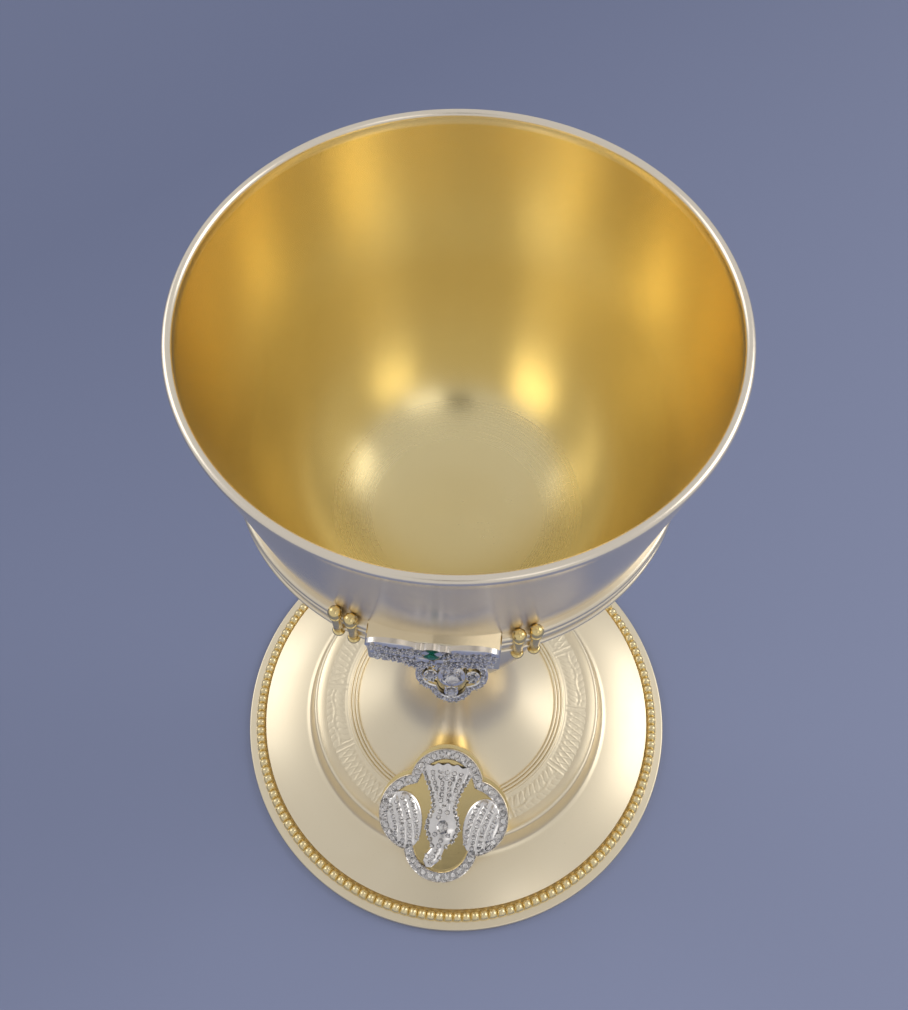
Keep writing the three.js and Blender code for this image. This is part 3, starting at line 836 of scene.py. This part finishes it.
def sunkSeat(values, laid, sink, rings, steps):
    # flat top with a wall that goes down all round to the metal below
    outline = quatrefoil(values["reach"], values["lobe"])
    turn, place = np.array(laid.to_3x3()), np.array(laid.translation)
    upper, lower = [], []
    for i in range(rings + 1):
        flat = outline * (1 - i / rings) + (0, values["seatShift"])
        spots = np.column_stack([flat, np.full(len(flat), -values["seatGap"])]) @ turn.T + place
        upper.append(spots)
        deep = spots.copy()
        for _ in range(steps):
            deep -= turn[:, 2] * sink(deep)[:, None]
        lower.append(deep)
    rows = lower[::-1] + upper
    return grid(np.vstack(rows), len(rows), len(outline))


# Medallion: openwork quatrefoil with a dove seen from above, head down
medallion = {
    "reach": 20.5, "lobe": 11.9, "frame": 3.4, "thickness": 1.6,
    "tilt": 20, "centreRadius": 40.6, "centreHeight": 23,
    "seatShift": 1.2, "seatGap": 0.3, "seatDepth": 0.5,
    "frameStone": 1.15, "framePitch": 2.4,
    "wingCentre": (12.0, -2.4), "wingHalf": (5.5, 8.7), "wingLean": -15, "wingRise": 1.2,
    "wingStone": 0.78, "wingPitch": 1.7, "wingMargin": (0.5, 0.7),
    "doveStone": 0.82, "dovePitch": 1.85, "doveRowPitch": 1.72, "doveMargin": 0.65, "beak": 1.6,
    "featherPitch": 2.3, "featherBow": 1.3, "featherDepth": 0.22,
    "breastStone": (0.2, -3.4, 2.2), "grain": 0.2,
    # the dove from its beak to the end of its tail: place, half width, middle, rise
    "dove": [
        (-16.0, 0.9, -3.2, 0.3), (-14.2, 2.5, -2.7, 1.0), (-12.2, 2.6, -1.9, 1.0), (-10.0, 2.1, -0.8, 0.8),
        (-7.4, 4.1, 0, 1.3), (-4.0, 5.5, 0, 1.6), (-1.2, 5.1, 0, 1.4), (2.0, 3.8, 0, 1.0),
        (6.0, 4.6, 0, 0.9), (10.0, 6.4, 0, 0.8), (13.4, 7.6, 0, 0.7), (15.6, 7.7, 0, 0.5),
    ],
    "sideShare": 0.8,        # how much of the thickness the sides of dove and wings have
    "swell": 0.6,            # roundness of their backs, 0.5 is an ellipse
    "tailFeathers": 5, "tailFrom": 1.0,
    "fanFrom": 9, "fanLength": 6, "fanBow": 1.5, "fanScallop": 0.35,
}


def pebble(halfWidth, halfHeight, lean=0, centre=(0, 0), pointed=0.0, steps=40):
    # oval outline, more pointed at its lower end
    angles = np.linspace(0, 2 * math.pi, steps, endpoint=False)
    x = halfWidth * np.cos(angles) * (1 + pointed * np.sin(angles))
    y = halfHeight * np.sin(angles)
    turn = math.radians(lean)
    return np.column_stack([
        centre[0] + x * math.cos(turn) - y * math.sin(turn),
        centre[1] + x * math.sin(turn) + y * math.cos(turn),
    ])


def doveSurface(values, y, across):
    # middle, half width and height of the dove's back, across from -1 to 1
    table = np.array(values["dove"], float)
    half, middle, rise = (np.interp(y, table[:, 0], table[:, k]) for k in (1, 2, 3))
    up = values["thickness"] * values["sideShare"] + rise * (1 - across ** 2) ** values["swell"]
    tail = np.clip((y - values["tailFrom"]) / 4, 0, 1)
    grooves = np.cos(math.pi * values["tailFeathers"] * (across + 1))
    return middle, half, up + tail * values["featherDepth"] * -grooves


def fanShare(values, y):
    # 0 along the body, 1 where the tail is fully spread
    return np.clip((y - values["fanFrom"]) / values["fanLength"], 0, 1)


def doveForm(values, steps=80, columns=61):
    table = np.array(values["dove"], float)
    places = np.linspace(table[0, 0], table[-1, 0], steps + 1)[:, None]
    across = np.sin(np.linspace(-math.pi / 2, math.pi / 2, columns))[None, :]
    middle, half, up = doveSurface(values, places, across)
    scallop = values["fanScallop"] * np.cos(math.pi * values["tailFeathers"] * (across + 1))
    drawnIn = fanShare(values, places) * (scallop + values["fanBow"] * across ** 2)
    top = np.stack([middle + half * across, places - drawnIn, up], axis=-1)
    spots = np.concatenate([top, top[:, ::-1] * (1, 1, 0)], axis=1)
    count = 2 * columns
    points, faces = grid(spots.reshape(-1, 3), steps + 1, count)
    faces.append(list(range(count)))
    faces.append([steps * count + k for k in range(count)])
    return points, faces


def doveStones(values):
    breast, size, margin = values["breastStone"], values["doveStone"], values["doveMargin"]
    table = np.array(values["dove"], float)
    stones = []
    rows = np.arange(table[0, 0] + values["beak"], table[-1, 0] - 0.8, values["doveRowPitch"])
    for row, y in enumerate(rows):
        half = np.interp(y, table[:, 0], table[:, 1]) - margin
        count = max(1, int(2 * half / values["dovePitch"]) + row % 2)
        for x in np.linspace(-half, half, count) if count > 1 else [0.0]:
            across = x / (half + margin)
            middle, full, up = doveSurface(values, y, across)
            if math.hypot(middle + x - breast[0], y - breast[1]) < breast[2] + size:
                continue
            drawnIn = fanShare(values, y) * values["fanBow"] * across ** 2
            stones.append((middle + x, y - drawnIn, up + 0.15, size))
    up = doveSurface(values, breast[1], 0)[2]
    stones.append((breast[0], breast[1], up + 0.45, breast[2]))
    return stones


def makeWing(values, side):
    # a leaf-shaped wing with bowed feathers, and stones along each of them
    thick = values["thickness"] * values["sideShare"]
    centre = np.array([values["wingCentre"][0] * side, values["wingCentre"][1]])
    halfWidth, halfHeight = values["wingHalf"]
    lean = values["wingLean"] * side
    cos, sin = math.cos(math.radians(lean)), math.sin(math.radians(lean))

    def bowAt(v):
        return side * values["featherBow"] * (1 - (v / halfHeight) ** 2)

    def feathers(x, y):
        u = (x - centre[0]) * cos + (y - centre[1]) * sin
        v = -(x - centre[0]) * sin + (y - centre[1]) * cos
        wave = np.cos(2 * math.pi * (u + bowAt(v)) / values["featherPitch"])
        return values["featherDepth"] * wave

    outline = pebble(halfWidth, halfHeight, lean, centre, 0.1, 72)
    metal = domed(outline, centre, values["wingRise"], thick, 20, values["swell"], feathers)
    inWidth, inHeight = halfWidth - values["wingMargin"][0], halfHeight - values["wingMargin"][1]
    pitch = values["wingPitch"]
    stones = []
    for row in range(-3, 4):
        for v in np.arange(-halfHeight, halfHeight, pitch) + pitch / 2 * (row % 2):
            u = row * values["featherPitch"] - bowAt(v)
            if (u / inWidth) ** 2 + (v / inHeight) ** 2 > 1:
                continue
            spot = centre + (u * cos - v * sin, u * sin + v * cos)
            share = max(0, 1 - (u / halfWidth) ** 2 - (v / halfHeight) ** 2)
            up = thick + values["wingRise"] * share ** values["swell"]
            stones.append((spot[0], spot[1], up + 0.3, values["wingStone"]))
    return metal, stones


def makeMedallion(values):
    laid = layOn(values["tilt"], values["centreRadius"], values["centreHeight"])
    thick, half = values["thickness"], values["frame"] / 2
    middle = quatrefoil(values["reach"] - half, values["lobe"] - half)
    low, floor = thick * 0.7, thick * 0.8
    section = [(-half, 0), (half, 0), (half, low), (half - 0.25, thick), (half - 0.6, floor),
               (-half + 0.6, floor), (-half + 0.25, thick), (-half, low)]
    metal = [sweepBand(middle, section), doveForm(values)]
    stones = [(x, y, thick, values["frameStone"]) for x, y in alongLine(middle, values["framePitch"])]
    stones += doveStones(values)
    for side in (-1, 1):
        wing, wingStones = makeWing(values, side)
        metal.append(wing)
        stones += wingStones
    metal.append(grainsRound(stones, values["grain"]))
    makeJewel(("doveMedallion", "medallionStones"), metal, stones, laid, "dove_medallion", 11)

    def aboveFoot(spots):
        radius = np.linalg.norm(spots[:, :2], axis=1)
        above = spots[:, 2] - (footHeightAt(footLine, radius) - values["seatDepth"])
        return above * (above > 0) * 0.7

    seat = sunkSeat(values, laid, aboveFoot, rings=10, steps=40)
    makePiece("medallionSeat", seat, [brightGold], ["medallion_seat"], sharp=30)


makeMedallion(medallion)


# Jewel on the knop: a small quatrefoil with round stones, on its own seat
knopJewel = {
    "reach": 8.8, "lobe": 5.1, "frame": 1.7, "thickness": 1.3, "tilt": 62, "turn": 3,
    "centreRadius": 27, "centreHeight": 117.5, "seatShift": 0, "seatGap": 0.3, "seatDepth": 0.3,
    "middleStone": 2.6, "middleCup": 3.3, "lobeStone": 1.35, "lobeCup": 1.7, "lobePlace": 5.1,
    "rimStone": 0.66, "rimPitch": 1.6, "grain": 0.17, "bigGrain": 0.32,
}


def makeKnopJewel(values):
    laid = layOn(values["tilt"], values["centreRadius"], values["centreHeight"], values["turn"])
    thick, half = values["thickness"], values["frame"] / 2
    middle = quatrefoil(values["reach"] - half, values["lobe"] - half, 16)
    section = [(-half, 0), (half, 0), (half, thick * 0.8), (half - 0.3, thick),
               (-half + 0.3, thick), (-half, thick * 0.8)]
    metal = [sweepBand(middle, section)]
    rim = [(x, y, thick + 0.15, values["rimStone"]) for x, y in alongLine(middle, values["rimPitch"])]
    large = []
    for quarter in range(4):
        angle = quarter * math.pi / 2
        spot = (values["lobePlace"] * math.cos(angle), values["lobePlace"] * math.sin(angle))
        cup = pebble(values["lobeCup"], values["lobeCup"], 0, spot)
        metal.append(domed(cup, spot, 0.2, thick * 1.1, 3))
        large.append((*spot, thick + 0.75, values["lobeStone"]))
    cup = pebble(values["middleCup"], values["middleCup"])
    metal.append(domed(cup, (0, 0), 0.2, thick * 1.2, 4))
    large.append((0, 0, thick + 1.5, values["middleStone"]))
    metal.append(grainsRound(large, values["bigGrain"], 6, 1.04))
    metal.append(grainsRound(rim, values["grain"], 4, 1.08))
    makeJewel(("knopJewelSetting", "knopJewelStones"), metal, rim + large, laid, "knop_jewel", 5)

    across = knop["radius"] - values["seatDepth"]
    rise = knop["height"] / 2 - values["seatDepth"]

    def outsideKnop(spots):
        flat = (spots[:, :2] ** 2).sum(1) / across ** 2
        return 0.15 * (flat + ((spots[:, 2] - knop["centre"]) / rise) ** 2 > 1)

    seat = sunkSeat(values, laid, outsideKnop, rings=8, steps=60)
    makePiece("knopJewelSeat", seat, [brightGold], ["knop_jewel_seat"], sharp=30)


makeKnopJewel(knopJewel)


# Bow jewel on the girdle: two leaf wings with an emerald between them
bow = {
    "front": 46.2, "thickness": 1.6, "stone": 0.62, "pitch": 1.42, "grain": 0.17,
    # leaves: centre, half sizes, lean
    "leaves": [
        ((7.0, 184.0), (5.1, 2.3), 8),
        ((6.6, 180.2), (4.9, 2.3), 16),
        ((2.4, 178.2), (2.6, 2.2), 10),
    ],
    "leafRise": 0.5, "leafEdge": 0.35,
    "emerald": (0, 184.0, 1.45, 1.05), "emeraldCup": 0.5, "emeraldDepth": 1.1,
    "whiteStone": (2.3, 183.9, 0.95), "whiteCup": 0.35,
}


def bowLeaf(values, centre, halfWidth, halfHeight, lean):
    low = values["thickness"] * 0.6
    outline = pebble(halfWidth, halfHeight, lean, centre)
    metal = domed(outline, centre, values["leafRise"], low, 6, 0.5)
    turn, pitch = math.radians(lean), values["pitch"]
    count = int(halfWidth / pitch) + 1
    stones = []
    for row in (-0.5, 0.5):
        for k in range(-count, count + 1):
            u, v = (k + row * 0.5) * pitch, row * pitch
            inWidth, inHeight = halfWidth - values["leafEdge"], halfHeight - values["leafEdge"]
            if (u / inWidth) ** 2 + (v / inHeight) ** 2 > 1:
                continue
            px = centre[0] + u * math.cos(turn) - v * math.sin(turn)
            pz = centre[1] + u * math.sin(turn) + v * math.cos(turn)
            stones.append((px, pz, low + 0.55, values["stone"]))
    return metal, stones


def makeBow(values):
    upright = Matrix.Translation((0, -values["front"], 0)) @ Matrix.Rotation(math.radians(90), 4, "X")
    thick = values["thickness"] * 0.8
    metal, stones = [], []
    for side in (-1, 1):
        for (x, z), (halfWidth, halfHeight), lean in values["leaves"]:
            leaf, leafStones = bowLeaf(values, (x * side, z), halfWidth, halfHeight, lean * side)
            metal.append(leaf)
            stones += leafStones
    x, z, halfWidth, halfHeight = values["emerald"]
    cup = pebble(halfWidth + values["emeraldCup"], halfHeight + values["emeraldCup"], 0, (x, z))
    metal.append(domed(cup, (x, z), 0.1, thick, 4))
    place, height, size = values["whiteStone"]
    for side in (-1, 1):
        spot = (place * side, height)
        cup = pebble(size + values["whiteCup"], size + values["whiteCup"], 0, spot)
        metal.append(domed(cup, spot, 0.1, thick, 4))
        stones.append((*spot, thick + 0.6, size))
    metal.append(grainsRound(stones, values["grain"]))
    makeJewel(("bowSetting", "bowStones"), metal, stones, upright, "bow_jewel", 3)
    stone, faces = brilliant(1, 12)
    stone = np.array(stone) * (halfWidth, halfHeight, values["emeraldDepth"]) + (x, z, thick + 0.75)
    green = moved((stone, faces), upright)
    makePiece("emeraldStone", green, [greenStone], ["emerald"], sharp=5)


makeBow(bow)


# Box seat of the bow jewel: two polished panels that meet at a ridge, their pale gold a painted highlight
bowSeat = {
    "halfWidth": 12.2, "front": 45.9, "side": 183.9, "ridge": 0.5, "drop": 8.5, "bevel": 0.25,
    "columns": 49, "inGirdle": 1.2, "underGirdle": 3.4,
}


def cupRadiusAt(height):
    line = offsetLine(cupInsideLine(cup), cup["wall"])
    return float(np.interp(height, line[:, 1], line[:, 0]))


def makeBowSeat(values):
    half, bevel = values["halfWidth"], values["bevel"]
    bottom = calyx["top"] - values["drop"]
    across = np.linspace(-half, half, values["columns"])
    across = np.unique(np.concatenate([across, [-half + bevel, half - bevel]]))
    rows = []
    for x in across:
        edge = bevel * (abs(x) > half - 1e-6)
        top = values["side"] + values["ridge"] * (1 - abs(x) / half) - edge
        front = -values["front"] + edge
        wall = -math.sqrt(cupRadiusAt(top) ** 2 - x ** 2) + 0.1
        under = -math.sqrt((calyx["girdle"] - values["inGirdle"]) ** 2 - x ** 2)
        low = -math.sqrt((calyx["girdle"] - values["underGirdle"]) ** 2 - x ** 2)
        line = [
            (low, bottom + 1.5),
            (min(low, 2.4 - values["front"]), bottom + 0.4),
            (front + 0.6, bottom + edge),
            (front, bottom + 0.5),
            (front, top - bevel),
            (front + bevel * 0.3, top - bevel * 0.3),
            (front + bevel, top),
            (wall, top),
            (wall, calyx["top"] - 0.3),
            (under, calyx["top"] - 0.6),
            (under, bottom + 3.0),
        ]
        rows.append([(x, y, z) for y, z in line])
    columns = len(rows[0])
    points, faces = grid(np.array(rows).reshape(-1, 3), len(rows), columns)
    faces.append(list(range(columns))[::-1])
    faces.append([(len(rows) - 1) * columns + k for k in range(columns)])
    makePiece("bowSeatBox", (points, faces), [paintedHighlightGold], ["bow_seat"], sharp=20)


makeBowSeat(bowSeat)


# Small turned pillars at the ends of the bow seat
pillars = {
    "angles": {"left_outer": -23.7, "left_inner": -19.6, "right_inner": 19.6, "right_outer": 23.7},
    "radius": 0.95, "foot": 175.6, "ball": 1.35, "ballHeight": 184.4, "ring": 45.4, "segments": 32,
}


def makePillars(values):
    thin, ball, bottom = values["radius"], values["ball"], values["foot"]
    profile = np.vstack([
        [(0, bottom)],
        arc((thin * 0.8, bottom + 0.5), 0.5, -90, 90, 8),
        [(thin, bottom + 1.5)],
        [(thin, values["ballHeight"] - ball * 1.5)],
        arc((thin, values["ballHeight"] - ball * 1.15), 0.25, -90, 90, 6),
        arc((0, values["ballHeight"]), ball, -50, 90, 18),
    ])
    profile[-1, 0] = 0
    for side, angle in values["angles"].items():
        turn = math.radians(angle)
        spot = Matrix.Translation((values["ring"] * math.sin(turn), -values["ring"] * math.cos(turn), 0))
        part = moved(turned(profile, values["segments"]), spot)
        makePiece("pillar." + side, part, [brightGold], ["pillar_" + side], sharp=50)


makePillars(pillars)


# Pale table with painted light across it, and soft studio light
studio = {
    # the floor's colour is painted light: painted shade at the back left, painted light at the front right
    "floorPaintedShadeColour": (0.165, 0.196, 0.33), "floorPaintedLightColour": (0.285, 0.325, 0.50), "floorSize": 3.0,
    "floorPaintedLightRange": (-0.4, 0.25),
    "ambient": (0.58, 0.575, 0.58),
    "panels": [
        # direction, angles in degrees where it is full and where it ends, light that it adds
        ((-0.76, 0.33, 0.55), 10, 22, (1.4, 1.38, 1.34)),       # left window
        ((0.74, 0.30, 0.60), 12, 22, (2.1, 2.05, 1.98)),        # right window
        ((0.36, -0.56, 0.75), 4, 14, (0.7, 0.68, 0.66)),        # lamp behind the camera
        ((0.04, -0.56, 0.83), 3.5, 9, (-0.56, -0.555, -0.56)),  # the camera itself
    ],
}


def makeFloor(values):
    size = values["floorSize"] / 2
    rings = 24
    points, faces = [], []
    for i in range(rings + 1):
        for j in range(rings + 1):
            points.append((size * (2 * i / rings - 1), size * (2 * j / rings - 1), 0))
    for i in range(rings):
        for j in range(rings):
            a = i * (rings + 1) + j
            faces.append([a, a + rings + 1, a + rings + 2, a + 1])
    mesh = bpy.data.meshes.new("floor")
    mesh.from_pydata(points, [], faces)
    floor = bpy.data.objects.new("floor", mesh)
    bpy.context.scene.collection.objects.link(floor)
    material = bpy.data.materials.new("floorPaperPaintedLight")
    material.use_nodes = True
    tree = material.node_tree
    shader = tree.nodes["Principled BSDF"]
    place = tree.nodes.new("ShaderNodeTexCoord")
    split = tree.nodes.new("ShaderNodeSeparateXYZ")
    tree.links.new(place.outputs["Object"], split.inputs[0])
    # painted light: the colour goes from painted shade at the back left to painted light at the front right
    paintedLightFade = tree.nodes.new("ShaderNodeMapRange")
    paintedLightFade.inputs["From Min"].default_value, paintedLightFade.inputs["From Max"].default_value = values["floorPaintedLightRange"]
    tree.links.new(maths(tree, "SUBTRACT", split.outputs[0], split.outputs[1]), paintedLightFade.inputs["Value"])
    colour = blendColour(tree, paintedLightFade.outputs[0], values["floorPaintedShadeColour"], values["floorPaintedLightColour"])
    tree.links.new(colour, shader.inputs["Base Color"])
    shader.inputs["Roughness"].default_value = 0.75
    mesh.materials.append(material)


def makeLights(values):
    # all light comes from soft panels round the table
    world = bpy.data.worlds.new("studio")
    world.use_nodes = True
    tree = world.node_tree
    place = tree.nodes.new("ShaderNodeTexCoord")
    light = tree.nodes.new("ShaderNodeCombineXYZ")
    for socket, value in zip(light.inputs, values["ambient"]):
        socket.default_value = value
    total = light.outputs[0]
    for direction, full, end, added in values["panels"]:
        facing = tree.nodes.new("ShaderNodeVectorMath")
        facing.operation = "DOT_PRODUCT"
        facing.inputs[1].default_value = Vector(direction).normalized()
        tree.links.new(place.outputs["Generated"], facing.inputs[0])
        edge = tree.nodes.new("ShaderNodeMapRange")
        edge.interpolation_type = "SMOOTHSTEP"
        edge.inputs["From Min"].default_value = math.cos(math.radians(end))
        edge.inputs["From Max"].default_value = math.cos(math.radians(full))
        tree.links.new(facing.outputs["Value"], edge.inputs["Value"])
        panel = tree.nodes.new("ShaderNodeVectorMath")
        panel.operation = "MULTIPLY_ADD"
        panel.inputs[0].default_value = added
        tree.links.new(edge.outputs[0], panel.inputs[1])
        tree.links.new(total, panel.inputs[2])
        total = panel.outputs[0]
    tree.links.new(total, tree.nodes["Background"].inputs["Color"])
    bpy.context.scene.world = world
    print("lights in place")


makeFloor(studio)
makeLights(studio)
bpy.context.scene.view_settings.view_transform = "Standard"
